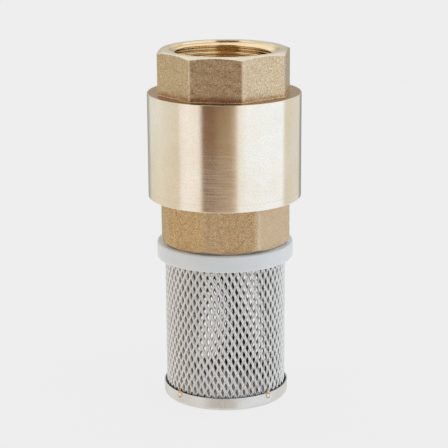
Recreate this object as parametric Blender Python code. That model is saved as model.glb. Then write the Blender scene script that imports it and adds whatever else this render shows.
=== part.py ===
"""Foot valve, 1 inch (G1 / DN25): a brass spring check valve with a screwed-on stainless strainer.

Units are metres, +Z is up along the valve's axis, -Y is the front. The origin is the middle of the strainer
cap's underside, on which the valve stands. Water enters through the strainer, lifts the poppet and leaves
through the octagonal outlet at the top.
"""

import math

import bmesh
import bpy
from mathutils import Matrix, Vector

MM = 0.001

# Heights of the visible joints and edges, from the bottom up.
CAP_HEIGHT = 4.1 * MM
RING_BOTTOM = 45.75 * MM
RING_TOP = 50.75 * MM
INLET_BOTTOM = 50.9 * MM
BARREL_BOTTOM = 65.3 * MM  # underside of the inlet end's flange
FLANGE_TOP = 67.6 * MM
LEDGE = 98.2 * MM  # top of the barrel
TOP = 111.65 * MM  # outlet rim

# Outside sizes.
BARREL_RADIUS = 24.0 * MM
OUTLET_FLATS = 39.5 * MM  # across flats
INLET_FLATS = 39.3 * MM
OUTLET_CORNER_ROUND = 1.6 * MM
INLET_CORNER_ROUND = 4.0 * MM
TURNED_FACE = 19.35 * MM  # flat turned face of each octagon; a cone outside it takes the corners off
OUTLET_TURN = math.radians(15)  # a corner's angle from the front, towards +X
INLET_TURN = math.radians(29)
RING_RADIUS = 21.5 * MM
MESH_RADIUS = 19.05 * MM
MESH_WALL = 0.6 * MM
CAP_RADIUS = 19.9 * MM
CAP_WALL = 0.5 * MM
WELD_TURN = -137.3  # degrees from the front; the welds follow every quarter turn
WELD_HEIGHT = 3.3 * MM
WELD_RADIUS = 0.8 * MM

# G1 pipe thread (11 per inch), made here as plain bores and a plain spigot.
THREAD_MINOR = 15.145 * MM
THREAD_MOUTH = 17.1 * MM  # chamfer at a threaded bore's mouth
OUTLET_THREAD_END = 98.0 * MM
INLET_THREAD_END = 61.9 * MM

# Inside of the valve.
CHAMBER_RADIUS = 20.0 * MM
SOCKET_RADIUS = 20.9 * MM  # barrel's thread for the inlet end
O_RING_GROOVE = 22.3 * MM  # counterbore at the barrel's lower end, for the rubber ring
O_RING_GROOVE_DEPTH = 2.3 * MM
CHAMBER_BOTTOM = 75.0 * MM
CHAMBER_CONE = 87.6 * MM
UPPER_GUIDE_BOTTOM = 92.3 * MM
UPPER_GUIDE_SHOULDER = 96.6 * MM
UPPER_GUIDE_BORE = 15.4 * MM
OUTLET_THROAT = 13.2 * MM
SEAT = 75.0 * MM
SEAT_BORE = 12.75 * MM
SEAT_LIP = 14.4 * MM
LOWER_GUIDE_BORE = 13.9 * MM
LOWER_GUIDE_SHOULDER = 68.9 * MM
CLIP_GROOVE = 14.7 * MM
CLIP_BELOW_SHOULDER = 5.4 * MM
CLIP_THICKNESS = 1.0 * MM

# Poppet and spring.
STEM_RADIUS = 3.0 * MM
STEM_BOTTOM = 56.5 * MM
STEM_TOP = 98.5 * MM
COLLAR_BOTTOM = 80.7 * MM
COLLAR_TOP = 83.2 * MM
DISC_RADIUS = 16.0 * MM
DISC_TOP = 80.4 * MM
SPRING_BOTTOM = 80.5 * MM
SPRING_TOP = 93.2 * MM
SPRING_MEAN_RADIUS = 7.3 * MM
SPRING_WIRE = 0.8 * MM
BUSH_BORE = 3.05 * MM
BUSH_RADIUS = 4.0 * MM
BUSH_FLANGE = 0.65 * MM

FIT = 0.15 * MM  # gap between pieces that touch
FINE = 48  # segments of the large turned pieces
MEDIUM = 36
SMALL = 24

# name: base colour, metallic, roughness
MATERIALS = {
    "brass": ((0.78, 0.62, 0.36), 1.0, 0.38),
    "stainless": ((0.72, 0.70, 0.66), 1.0, 0.32),
    "nylon": ((0.86, 0.89, 0.92), 0.0, 0.45),
    "nitrile": ((0.03, 0.03, 0.03), 0.0, 0.60),
    "acetal": ((0.90, 0.89, 0.85), 0.0, 0.40),
}


def clear_scene():
    for obj in list(bpy.data.objects):
        bpy.data.objects.remove(obj)


def material(name):
    """The material of this name, made on first use."""
    made = bpy.data.materials.get(name)
    if made:
        return made
    colour, metallic, roughness = MATERIALS[name]
    made = bpy.data.materials.new(name)
    made.use_nodes = True
    shader = made.node_tree.nodes["Principled BSDF"]
    shader.inputs["Base Color"].default_value = (*colour, 1.0)
    shader.inputs["Metallic"].default_value = metallic
    shader.inputs["Roughness"].default_value = roughness
    return made


def new_object(name, mesh, finish=None):
    obj = bpy.data.objects.new(name, mesh)
    bpy.context.scene.collection.objects.link(obj)
    if finish:
        mesh.materials.append(material(finish))
    return obj


def mesh_from(name, work):
    """A smooth-shaded mesh from a bmesh, which it frees."""
    bmesh.ops.recalc_face_normals(work, faces=work.faces)
    mesh = bpy.data.meshes.new(name)
    work.to_mesh(mesh)
    work.free()
    mesh.shade_smooth()
    mesh.set_sharp_from_angle(angle=math.radians(30))
    return mesh


def turned(name, outline, segments, finish=None):
    """A solid of revolution about Z. outline is a closed loop of (radius, height); one with a point on the
    axis starts and ends there."""
    work = bmesh.new()
    rings = []
    for radius, height in outline:
        if radius == 0:
            rings.append([work.verts.new((0, 0, height))] * segments)
            continue
        turns = (2 * math.pi * i / segments for i in range(segments))
        rings.append([work.verts.new((radius * math.cos(a), radius * math.sin(a), height)) for a in turns])
    for lower, upper in zip(rings, rings[1:] + rings[:1]):
        for i in range(segments):
            j = (i + 1) % segments
            corners = dict.fromkeys((lower[i], lower[j], upper[j], upper[i]))
            if len(corners) > 2:
                work.faces.new(tuple(corners))
    return new_object(name, mesh_from(name, work), finish)


def extruded(name, points, low, high, finish=None):
    """A prism of this XY outline between two heights."""
    work = bmesh.new()
    base = work.faces.new([work.verts.new((x, y, low)) for x, y in points])
    grown = bmesh.ops.extrude_face_region(work, geom=[base])
    top = [v for v in grown["geom"] if isinstance(v, bmesh.types.BMVert)]
    bmesh.ops.translate(work, verts=top, vec=(0, 0, high - low))
    return new_object(name, mesh_from(name, work), finish)


def octagon(across_flats, rounding, turn, steps=4):
    """Outline of an octagon with rounded corners, one of them at the angle turn from -Y towards +X."""
    centre = (across_flats / 2 - rounding) / math.cos(math.pi / 8)
    points = []
    for corner in range(8):
        middle = corner * math.pi / 4 + turn - math.pi / 2
        for step in range(steps + 1):
            angle = middle + (step / steps - 0.5) * math.pi / 4
            points.append(
                (
                    centre * math.cos(middle) + rounding * math.cos(angle),
                    centre * math.sin(middle) + rounding * math.sin(angle),
                )
            )
    return points


def cutter(obj):
    obj.hide_render = True
    obj.display_type = "WIRE"
    return obj


def combine(obj, operation, other):
    """Adds a Boolean to obj; other becomes a hidden helper."""
    boolean = obj.modifiers.new(f"{operation.lower()} {other.name}", "BOOLEAN")
    boolean.operation = operation
    boolean.solver = "EXACT"
    boolean.object = cutter(other)
    return obj


def at_pivot(obj, height):
    """Moves the object's origin up its own axis to this height, leaving its shape in place."""
    obj.data.transform(Matrix.Translation((0, 0, -height)))
    obj.location = (0, 0, height)
    return obj


def corner_blank(name, face, end, slope):
    """The cone, at this slope in degrees, that takes an octagon's corners off outside its turned face."""
    reach = 30 * MM
    drop = (reach - TURNED_FACE) * math.tan(math.radians(slope))
    shoulder = face - math.copysign(drop, face - end)
    return turned(name, [(0, face), (TURNED_FACE, face), (reach, shoulder), (reach, end), (0, end)], FINE)


def valve_body():
    """Outlet octagon and barrel, one forging, bored through."""
    sunk = 2 * MM
    body = extruded(
        "valve_body",
        octagon(OUTLET_FLATS, OUTLET_CORNER_ROUND, OUTLET_TURN),
        LEDGE - sunk,
        TOP,
        "brass",
    )
    combine(body, "INTERSECT", corner_blank("outlet_blank", TOP, LEDGE - 2 * sunk, 22))
    edge = 0.35 * MM
    barrel = turned(
        "barrel_blank",
        [
            (0, FLANGE_TOP + 0.1 * MM),
            (BARREL_RADIUS, FLANGE_TOP + 0.1 * MM),
            (BARREL_RADIUS, LEDGE - edge),
            (BARREL_RADIUS - edge, LEDGE),
            (0, LEDGE),
        ],
        FINE,
    )
    combine(body, "UNION", barrel)
    chamfer = THREAD_MOUTH - THREAD_MINOR
    past = 2 * MM
    bore = turned(
        "body_bore",
        [
            (0, FLANGE_TOP - past),
            (O_RING_GROOVE, FLANGE_TOP - past),
            (O_RING_GROOVE, FLANGE_TOP + O_RING_GROOVE_DEPTH),
            (SOCKET_RADIUS, FLANGE_TOP + O_RING_GROOVE_DEPTH),
            (SOCKET_RADIUS, CHAMBER_BOTTOM),
            (CHAMBER_RADIUS, CHAMBER_BOTTOM + 0.6 * MM),
            (CHAMBER_RADIUS, CHAMBER_CONE),
            (UPPER_GUIDE_BORE, UPPER_GUIDE_BOTTOM - 0.2 * MM),
            (UPPER_GUIDE_BORE, UPPER_GUIDE_SHOULDER),
            (OUTLET_THROAT, UPPER_GUIDE_SHOULDER),
            (OUTLET_THROAT, OUTLET_THREAD_END - 1 * MM),
            (THREAD_MINOR, OUTLET_THREAD_END),
            (THREAD_MINOR, TOP - chamfer),
            (THREAD_MOUTH, TOP),
            (THREAD_MOUTH, TOP + past),
            (0, TOP + past),
        ],
        FINE,
    )
    combine(body, "DIFFERENCE", bore)


def inlet_end():
    """Lower octagon, flange, screwed spigot and valve seat, one forging, bored through."""
    sunk = 1 * MM
    end = extruded(
        "inlet_end",
        octagon(INLET_FLATS, INLET_CORNER_ROUND, INLET_TURN),
        INLET_BOTTOM,
        BARREL_BOTTOM + sunk,
        "brass",
    )
    combine(end, "INTERSECT", corner_blank("inlet_foot", INLET_BOTTOM, BARREL_BOTTOM + 2 * sunk, 35))
    spigot = SOCKET_RADIUS - 2 * FIT
    edge = 0.3 * MM
    upper = turned(
        "inlet_blank",
        [
            (0, BARREL_BOTTOM),
            (BARREL_RADIUS - edge, BARREL_BOTTOM),
            (BARREL_RADIUS, BARREL_BOTTOM + edge),
            (BARREL_RADIUS, FLANGE_TOP),
            (spigot, FLANGE_TOP),
            (spigot, SEAT - 2.4 * MM),
            (spigot - 1.4 * MM, SEAT - 1.0 * MM),
            (SEAT_LIP + 0.5 * MM, SEAT - 1.0 * MM),
            (SEAT_LIP, SEAT),
            (0, SEAT),
        ],
        FINE,
    )
    combine(end, "UNION", upper)
    chamfer = THREAD_MOUTH - THREAD_MINOR
    past = 2 * MM
    groove_bottom = LOWER_GUIDE_SHOULDER - CLIP_BELOW_SHOULDER - FIT
    groove_top = groove_bottom + CLIP_THICKNESS + 2 * FIT
    bore = turned(
        "inlet_bore",
        [
            (0, INLET_BOTTOM - past),
            (THREAD_MOUTH, INLET_BOTTOM - past),
            (THREAD_MOUTH, INLET_BOTTOM),
            (THREAD_MINOR, INLET_BOTTOM + chamfer),
            (THREAD_MINOR, INLET_THREAD_END),
            (LOWER_GUIDE_BORE, INLET_THREAD_END),
            (LOWER_GUIDE_BORE, groove_bottom),
            (CLIP_GROOVE, groove_bottom),
            (CLIP_GROOVE, groove_top),
            (LOWER_GUIDE_BORE, groove_top),
            (LOWER_GUIDE_BORE, LOWER_GUIDE_SHOULDER),
            (SEAT_BORE, LOWER_GUIDE_SHOULDER),
            (SEAT_BORE, SEAT + past),
            (0, SEAT + past),
        ],
        FINE,
    )
    combine(end, "DIFFERENCE", bore)


def body_o_ring():
    section = 0.7 * MM
    sides = 8
    centre = (21.45 * MM, FLANGE_TOP + 1.15 * MM)
    angles = [2 * math.pi * i / sides for i in range(sides)]
    outline = [(centre[0] + section * math.cos(a), centre[1] + section * math.sin(a)) for a in angles]
    turned("body_o_ring", outline, MEDIUM, "nitrile")


def arm(name, inner, outer, width, low, high, angle):
    """A spider's arm: a straight bar along the radius at this angle."""
    turn = Matrix.Rotation(angle, 2)
    half = width / 2
    corners = [(inner, -half), (outer, -half), (outer, half), (inner, half)]
    return extruded(name, [tuple(turn @ Vector(corner)) for corner in corners], low, high)


def spider(name, rim, hub, arm_width, arm_heights):
    """A guide: a rim and a hub, both turned outlines, joined by three arms."""
    rim_outer = max(radius for radius, _ in rim)
    rim_inner = min(radius for radius, _ in rim)
    hub_outer = max(radius for radius, _ in hub)
    guide = turned(name, rim, MEDIUM, "brass")
    for number in range(3):
        angle = math.radians(90 + 120 * number)
        bar = arm(
            f"{name}_arm_{number}",
            hub_outer - 0.5 * MM,
            (rim_inner + rim_outer) / 2,
            arm_width,
            *arm_heights,
            angle,
        )
        combine(guide, "UNION", bar)
    combine(guide, "UNION", turned(f"{name}_hub", hub, SMALL))


def tube_outline(inner, outer, low, high, edge=0.0):
    """A tube's closed outline, with this chamfer on its outer edges."""
    if not edge:
        return [(inner, low), (outer, low), (outer, high), (inner, high)]
    return [
        (inner, low),
        (outer - edge, low),
        (outer, low + edge),
        (outer, high - edge),
        (outer - edge, high),
        (inner, high),
    ]


def guides():
    """Upper and lower spiders, their bushes, the spring's seat and the lower spider's clip."""
    hub_bore = BUSH_RADIUS + FIT
    hub_outer = 5.6 * MM
    arm_width = 2.4 * MM
    edge = 0.3 * MM
    hub_top = 97.2 * MM
    hub_bottom = 90.3 * MM
    rim_top = UPPER_GUIDE_SHOULDER - FIT
    spider(
        "upper_guide",
        tube_outline(OUTLET_THROAT, UPPER_GUIDE_BORE - FIT, UPPER_GUIDE_BOTTOM, rim_top, edge),
        tube_outline(hub_bore, hub_outer, hub_bottom + BUSH_FLANGE + FIT, hub_top - 0.2 * MM),
        arm_width,
        (SPRING_TOP + 0.8 * MM, rim_top),
    )
    bush("upper_guide_bush", hub_bottom, hub_top, hub_outer)
    seat_radius = SPRING_MEAN_RADIUS + 1.6 * MM
    seat = tube_outline(hub_outer + FIT, seat_radius, SPRING_TOP + 0.1 * MM, SPRING_TOP + 0.7 * MM)
    turned("spring_seat", seat, MEDIUM, "stainless")
    rim_top = LOWER_GUIDE_SHOULDER - FIT
    rim_bottom = LOWER_GUIDE_SHOULDER - 4.2 * MM
    lower_hub_bottom = 62.3 * MM
    lower_hub_top = 68.3 * MM
    spider(
        "lower_guide",
        tube_outline(12.0 * MM, LOWER_GUIDE_BORE - FIT, rim_bottom, rim_top, edge),
        tube_outline(hub_bore, hub_outer, lower_hub_bottom + BUSH_FLANGE + FIT, lower_hub_top - 0.2 * MM),
        arm_width,
        (rim_bottom + edge, rim_top - 2 * edge),
    )
    bush("lower_guide_bush", lower_hub_bottom, lower_hub_top, hub_outer)
    retaining_clip(LOWER_GUIDE_SHOULDER - CLIP_BELOW_SHOULDER)


def bush(name, low, high, flange_radius):
    """A flanged stem bush; its flange lies under the hub."""
    turned(
        name,
        [
            (BUSH_BORE, low),
            (flange_radius - 0.2 * MM, low),
            (flange_radius - 0.2 * MM, low + BUSH_FLANGE),
            (BUSH_RADIUS, low + BUSH_FLANGE),
            (BUSH_RADIUS, high),
            (BUSH_BORE, high),
        ],
        SMALL,
        "acetal",
    )


def retaining_clip(low):
    """Internal retaining ring: an open ring with a drilled lug at each end."""
    high = low + CLIP_THICKNESS
    past = 1 * MM
    inner = 12.5 * MM
    outer = CLIP_GROOVE - FIT
    half_gap = math.radians(16)
    lug_turn = half_gap + math.radians(8)
    lug_radius = 1.7 * MM
    lug_centre = 11.9 * MM
    hole_radius = 0.75 * MM
    hole_centre = 11.7 * MM
    steps = 36
    turns = [half_gap + (2 * math.pi - 2 * half_gap) * i / steps + math.pi / 2 for i in range(steps + 1)]
    outline = [(outer * math.cos(a), outer * math.sin(a)) for a in turns]
    outline += [(inner * math.cos(a), inner * math.sin(a)) for a in reversed(turns)]
    clip = extruded("lower_guide_clip", outline, low, high, "stainless")
    directions = [math.pi / 2 + side * lug_turn for side in (-1, 1)]
    for number, angle in enumerate(directions):
        centre = Vector((math.cos(angle), math.sin(angle))) * lug_centre
        combine(clip, "UNION", round_bar(f"clip_lug_{number}", centre, lug_radius, low, high))
    for number, angle in enumerate(directions):
        centre = Vector((math.cos(angle), math.sin(angle))) * hole_centre
        hole = round_bar(f"clip_hole_{number}", centre, hole_radius, low - past, high + past)
        combine(clip, "DIFFERENCE", hole)


def round_bar(name, centre, radius, low, high):
    """An upright round bar at this XY centre."""
    sides = 16
    angles = [2 * math.pi * i / sides for i in range(sides)]
    outline = [(centre.x + radius * math.cos(a), centre.y + radius * math.sin(a)) for a in angles]
    return extruded(name, outline, low, high)


def poppet():
    """The moving group, with its origin on the seat: stem, disc, seal, retainer, lock washer and nut."""
    tip = 0.6 * MM
    collar = 5.0 * MM
    stem = turned(
        "poppet_stem",
        [
            (0, STEM_BOTTOM),
            (STEM_RADIUS - tip, STEM_BOTTOM),
            (STEM_RADIUS, STEM_BOTTOM + tip),
            (STEM_RADIUS, COLLAR_BOTTOM),
            (collar, COLLAR_BOTTOM),
            (collar, COLLAR_TOP - tip / 2),
            (collar - tip / 2, COLLAR_TOP),
            (STEM_RADIUS, COLLAR_TOP),
            (STEM_RADIUS, STEM_TOP - tip),
            (STEM_RADIUS - tip, STEM_TOP),
            (0, STEM_TOP),
        ],
        SMALL,
        "stainless",
    )
    hole = STEM_RADIUS + FIT
    seal_top = SEAT + 2.1 * MM
    seal_edge = DISC_RADIUS - 0.9 * MM
    disc = turned(
        "poppet_disc",
        [
            (hole, seal_top + FIT),
            (seal_edge + FIT, seal_top + FIT),
            (seal_edge + FIT, SEAT + 0.9 * MM),
            (DISC_RADIUS, SEAT + 0.9 * MM),
            (DISC_RADIUS, DISC_TOP - 1.6 * MM),
            (DISC_RADIUS - 2.5 * MM, DISC_TOP - 0.2 * MM),
            (SPRING_MEAN_RADIUS + 1.8 * MM, DISC_TOP + 0.4 * MM),
            (SPRING_MEAN_RADIUS + 1.2 * MM, DISC_TOP),
            (hole, DISC_TOP),
        ],
        MEDIUM,
        "brass",
    )
    seal_outline = tube_outline(hole, seal_edge, SEAT + 0.1 * MM, seal_top)
    seal = turned("seat_seal", seal_outline, MEDIUM, "nitrile")
    retainer_outline = tube_outline(hole, 10.9 * MM, SEAT - 1.65 * MM, SEAT - 0.05 * MM, 0.3 * MM)
    retainer = turned("seal_retainer", retainer_outline, MEDIUM, "brass")
    washer_top = SEAT - 1.8 * MM
    washer = split_washer(hole, 5.2 * MM, washer_top - 1.2 * MM, washer_top)
    nut = hexagon_nut(hole, 10.0 * MM, washer_top - 4.0 * MM, washer_top - 1.35 * MM)
    carrier = bpy.data.objects.new("poppet_axis", None)
    bpy.context.scene.collection.objects.link(carrier)
    carrier.location = (0, 0, SEAT)
    for piece in (stem, disc, seal, retainer, washer, nut):
        at_pivot(piece, SEAT)
        piece.location = (0, 0, 0)
        piece.parent = carrier


def split_washer(inner, outer, low, high):
    """A spring washer, cut through once at an angle."""
    washer = turned("stem_lock_washer", tube_outline(inner, outer, low, high), SMALL, "stainless")
    past = 1 * MM
    width = 0.7 * MM
    slit = arm("washer_slit", inner - past, outer + past, width, low - past, high + past, math.radians(-60))
    return combine(washer, "DIFFERENCE", at_pivot(slit, SEAT))


def hexagon_nut(hole, across_flats, low, high):
    corner = across_flats / math.sqrt(3)
    outline = [(corner * math.cos(a), corner * math.sin(a)) for a in (math.pi / 3 * i for i in range(6))]
    nut = extruded("stem_nut", outline, low, high, "brass")
    bottom = low - 1 * MM
    top = high + 1 * MM
    bore = turned("nut_bore", [(0, bottom), (hole, bottom), (hole, top), (0, top)], SMALL)
    return combine(nut, "DIFFERENCE", at_pivot(bore, SEAT))


def closing_spring():
    """Compression spring with one close coil at each end; its upper end stays on the spring seat."""
    dead_turns = 0.9
    live_turns = 3.4
    dead_pitch = SPRING_WIRE * 1.08
    per_turn = 16
    low = SPRING_BOTTOM + SPRING_WIRE / 2
    high = SPRING_TOP - SPRING_WIRE / 2
    turns = 2 * dead_turns + live_turns
    live_rise = high - low - 2 * dead_turns * dead_pitch

    def height(turn):
        live = min(max(turn - dead_turns, 0), live_turns)
        return low + (turn - live) * dead_pitch + live_rise * live / live_turns

    steps = round(turns * per_turn)
    path = bpy.data.curves.new("closing_spring", "CURVE")
    path.dimensions = "3D"
    path.bevel_depth = SPRING_WIRE / 2
    path.bevel_resolution = 1
    path.use_fill_caps = True
    spline = path.splines.new("POLY")
    spline.points.add(steps)
    for i, point in enumerate(spline.points):
        turn = turns * i / steps
        angle = 2 * math.pi * turn
        z = height(turn)
        point.co = (SPRING_MEAN_RADIUS * math.cos(angle), SPRING_MEAN_RADIUS * math.sin(angle), z, 1)
    new_object("closing_spring", path, "stainless")


def strainer():
    """Nylon ring, expanded-metal tube (made here as a plain wall), pressed cap and its spot welds."""
    spigot = THREAD_MINOR - 2 * FIT
    spigot_top = INLET_THREAD_END - 1.7 * MM
    slot_inner = MESH_RADIUS - MESH_WALL - 0.3 * MM
    slot_outer = MESH_RADIUS + 0.3 * MM
    slot_top = RING_BOTTOM + 2.6 * MM
    bore = 12.4 * MM
    edge = 0.6 * MM
    turned(
        "strainer_ring",
        [
            (bore + 1.5 * MM, RING_BOTTOM),
            (slot_inner, RING_BOTTOM),
            (slot_inner, slot_top),
            (slot_outer, slot_top),
            (slot_outer, RING_BOTTOM),
            (RING_RADIUS - edge, RING_BOTTOM),
            (RING_RADIUS, RING_BOTTOM + edge),
            (RING_RADIUS, RING_TOP - edge),
            (RING_RADIUS - edge, RING_TOP),
            (spigot, RING_TOP),
            (spigot, spigot_top - edge),
            (spigot - edge, spigot_top),
            (bore, spigot_top),
            (bore, RING_BOTTOM + 3 * MM),
        ],
        FINE,
        "nylon",
    )
    turned(
        "strainer_mesh",
        tube_outline(MESH_RADIUS - MESH_WALL, MESH_RADIUS, CAP_WALL + 0.2 * MM, slot_top - 0.3 * MM),
        FINE,
        "stainless",
    )
    cap = turned(
        "strainer_cap",
        [
            (0, 0),
            (CAP_RADIUS - 0.8 * MM, 0),
            (CAP_RADIUS - 0.24 * MM, 0.24 * MM),
            (CAP_RADIUS, 0.8 * MM),
            (CAP_RADIUS, CAP_HEIGHT),
            (CAP_RADIUS - CAP_WALL, CAP_HEIGHT),
            (CAP_RADIUS - CAP_WALL, CAP_WALL),
            (0, CAP_WALL),
        ],
        FINE,
        "stainless",
    )
    past = 2 * MM
    inner = MESH_RADIUS + 0.12 * MM
    outer = CAP_RADIUS + 0.1 * MM
    for number in range(1, 5):
        angle = math.radians(WELD_TURN + 90 * number) - math.pi / 2
        notch = radial_bar(f"weld_notch_{number}", WELD_RADIUS + FIT, inner - past, outer + past, angle)
        combine(cap, "DIFFERENCE", notch)
        weld = radial_bar(f"cap_weld_{number}", WELD_RADIUS, inner, outer, angle)
        weld.data.materials.append(material("stainless"))


def radial_bar(name, radius, inner, outer, angle):
    """A round bar lying along the radius at this angle, at the welds' height."""
    obj = round_bar(name, Vector((0, 0)), radius, inner, outer)
    lie_down = Matrix.Rotation(math.pi / 2, 4, "Y")
    turn = Matrix.Rotation(angle, 4, "Z")
    obj.data.transform(Matrix.Translation((0, 0, WELD_HEIGHT)) @ turn @ lie_down)
    return obj


clear_scene()
valve_body()
inlet_end()
body_o_ring()
guides()
poppet()
closing_spring()
strainer()
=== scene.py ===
"""Foot valve: the finished surfaces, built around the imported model.

Metres, +Z up, -Y is the front. Pieces that turn about Z are skinned from rings of points; the strainer tube
is a lattice of rhombic cells. MM turns millimetres into metres.
"""

import math

import bmesh
import bpy
import numpy as np
from mathutils import Matrix, Vector, noise


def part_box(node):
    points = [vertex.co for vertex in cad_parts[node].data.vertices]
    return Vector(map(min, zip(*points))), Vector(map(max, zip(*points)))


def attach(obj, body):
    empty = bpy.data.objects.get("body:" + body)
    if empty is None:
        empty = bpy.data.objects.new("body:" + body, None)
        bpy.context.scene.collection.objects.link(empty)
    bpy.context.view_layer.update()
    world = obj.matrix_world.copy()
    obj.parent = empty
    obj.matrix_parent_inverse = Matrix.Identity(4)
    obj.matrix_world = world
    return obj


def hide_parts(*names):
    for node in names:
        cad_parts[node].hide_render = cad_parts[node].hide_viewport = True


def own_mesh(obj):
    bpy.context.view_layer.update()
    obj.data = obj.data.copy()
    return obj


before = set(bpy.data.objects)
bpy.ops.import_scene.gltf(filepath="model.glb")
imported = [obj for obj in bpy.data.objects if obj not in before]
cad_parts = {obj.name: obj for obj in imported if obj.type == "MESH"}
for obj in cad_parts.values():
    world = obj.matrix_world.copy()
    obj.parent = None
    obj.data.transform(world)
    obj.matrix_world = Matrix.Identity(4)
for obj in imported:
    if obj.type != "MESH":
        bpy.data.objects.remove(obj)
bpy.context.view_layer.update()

MM = 0.001
PI = math.pi


def top_of(node):
    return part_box(node)[1].z


def bottom_of(node):
    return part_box(node)[0].z


def radius_of(node):
    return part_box(node)[1].x


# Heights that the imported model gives.
TOP = top_of("valve_body")
BARREL_END = bottom_of("valve_body")
INLET_BOTTOM = bottom_of("inlet_end")
SEAT = top_of("inlet_end")
RING_BOTTOM = bottom_of("strainer_ring")
SPIGOT_TOP = top_of("strainer_ring")
CAP_TOP = top_of("strainer_cap")

# Heights inside the nodes.
LEDGE = TOP - 13.45 * MM  # top of the barrel
FLANGE_TOP = BARREL_END - 0.1 * MM
FLANGE_BOTTOM = FLANGE_TOP - 2.3 * MM
RING_TOP = INLET_BOTTOM - 0.15 * MM
SEAM = 0.012 * MM  # open joint between barrel and flange

# Outside sizes.
BARREL_RADIUS = radius_of("valve_body")
OUTLET_FLATS = 39.5 * MM
OUTLET_ROUND = 1.6 * MM
OUTLET_TURN = math.radians(15)
INLET_FLATS = 39.3 * MM
INLET_ROUND = 4.0 * MM
INLET_TURN = math.radians(29)
RIM_RADIUS = 19.35 * MM  # outer edge of the outlet's flat rim
RIM_SLOPE = math.tan(math.radians(22))
FOOT_RADIUS = 19.35 * MM  # turned chamfer round the lower octagon's underside
FOOT_SLOPE = math.tan(math.radians(35))

# Painted light and shade on each face of the octagons, -1 to 1, from the one right of the front corner on:
# how much paler or darker each face is drawn for the way it faces the lights.
OUTLET_FACE_LIGHT = 0.2, 0.8, -0.2, 0.3, 0.0, -0.3, -0.5, 0.3
INLET_FACE_LIGHT = 0.8, 0.3, -0.1, 0.5, 0.2, -0.2, 0.0, 0.12
OUTLET_WEAR_AND_SHEEN, INLET_WEAR_AND_SHEEN = 0.25, 0.3  # how much paler the corners are, partly worn and partly a painted highlight
WEAR_AND_SHEEN_WIDTH = 2.5  # degrees of turn from a corner over which that paleness fades

# G1 pipe thread.
PITCH = 2.309 * MM
THREAD_MINOR = 15.145 * MM
THREAD_MAJOR = 16.624 * MM
THREAD_ROUND = 0.317 * MM  # of crests and roots
FLANK = math.radians(27.5)
THREAD_MOUTH = 17.1 * MM
MOUTH_DEPTH = 0.55 * MM  # plain recess above the first thread
MOUTH_SLOPE = 4.0
OUTLET_THREAD_END = TOP - 13.65 * MM
INLET_THREAD_END = INLET_BOTTOM + 11.0 * MM
THREAD_PLAY = 0.17 * MM

FINE = 720  # points round the outlet's octagon
MEDIUM = 480
ROUND = 240  # points round turned surfaces
SMALL = 96


# ---------------------------------------------------------------- shapes

def ring(radius, height, count=ROUND):
    """Points at equal turns from the front. radius and height are numbers or arrays, one value a point."""
    turn = turns(count)
    return np.stack([radius * np.cos(turn), radius * np.sin(turn), height + 0 * turn], axis=1)


def turns(count):
    return 2 * PI * np.arange(count) / count - PI / 2


def lathe(outline, finish=0, count=ROUND):
    """Rings for an outline of (radius, height)."""
    return [(ring(radius, height, count if radius else 1), finish) for radius, height in outline]


def rounded(outline, size, steps=3):
    """The closed outline with its corners rounded; a short side limits the round beside it."""
    result = []
    corners = [np.array(corner) for corner in outline]
    for before, here, after in zip(corners[-1:] + corners[:-1], corners, corners[1:] + corners[:1]):
        if here[0] == 0:
            result.append(tuple(here))
            continue
        back, ahead = before - here, after - here
        lengths = np.linalg.norm(back), np.linalg.norm(ahead)
        reach = min(size, 0.45 * lengths[0], 0.45 * lengths[1])
        start, end = here + back / lengths[0] * reach, here + ahead / lengths[1] * reach
        for step in range(steps + 1):
            t = step / steps
            result.append(tuple((1 - t) ** 2 * start + 2 * t * (1 - t) * here + t * t * end))
    return result


def tube(inner, outer, low, high):
    return [(inner, low), (outer, low), (outer, high), (inner, high)]


def skin(name, bands, finishes, sharp=35, smooth=None):
    """A closed piece from a loop of rings. Each band is (ring, number of the finish above it); neighbouring
    rings have counts that divide. Faces of the finish smooth keep no sharp edges between them."""
    points = np.concatenate([points for points, _ in bands])
    starts = np.cumsum([0] + [len(points) for points, _ in bands])
    faces, marks = [], []
    for number, (points_here, mark) in enumerate(bands):
        following = (number + 1) % len(bands)
        first, second = int(starts[number]), int(starts[following])
        here, there = len(points_here), len(bands[following][0])
        if here == there == 1:
            continue
        few, many = min(here, there), max(here, there)
        step = many // few
        for i in range(many if few == 1 else few):
            chain = [i, (i + 1) % many] if few == 1 else [(i * step + k) % many for k in range(step + 1)]
            pair = [0] if few == 1 else [i, (i + 1) % few]
            low, high = (pair, chain) if here == few else (chain, pair)
            faces.append([first + k for k in low] + [second + k for k in reversed(high)])
            marks.append(mark)
    return piece_from(name, points, faces, finishes, marks, sharp, smooth)


def piece_from(name, points, faces, finishes, marks=None, sharp=35, smooth=None):
    mesh = bpy.data.meshes.new(name)
    mesh.from_pydata(points.tolist() if isinstance(points, np.ndarray) else points, [], faces)
    for finish in finishes:
        mesh.materials.append(finish)
    if marks:
        mesh.polygons.foreach_set("material_index", marks)
    work = bmesh.new()
    work.from_mesh(mesh)
    bmesh.ops.recalc_face_normals(work, faces=work.faces)
    limit = math.radians(sharp)
    for edge in work.edges:
        same = smooth is not None and all(face.material_index == smooth for face in edge.link_faces)
        edge.smooth = same or edge.calc_face_angle(0) < limit
    for face in work.faces:
        face.smooth = True
    work.to_mesh(mesh)
    work.free()
    obj = bpy.data.objects.new(name, mesh)
    bpy.context.scene.collection.objects.link(obj)
    return obj


def painted(piece, name, values):
    """The piece with a point attribute. values takes each point's turn from the front and its height."""
    place = np.empty(3 * len(piece.data.vertices))
    piece.data.vertices.foreach_get("co", place)
    x, y, z = place.reshape(-1, 3).T
    piece.data.attributes.new(name, "FLOAT", "POINT").data.foreach_set("value", values(np.arctan2(x, -y), z))
    return piece


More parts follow.
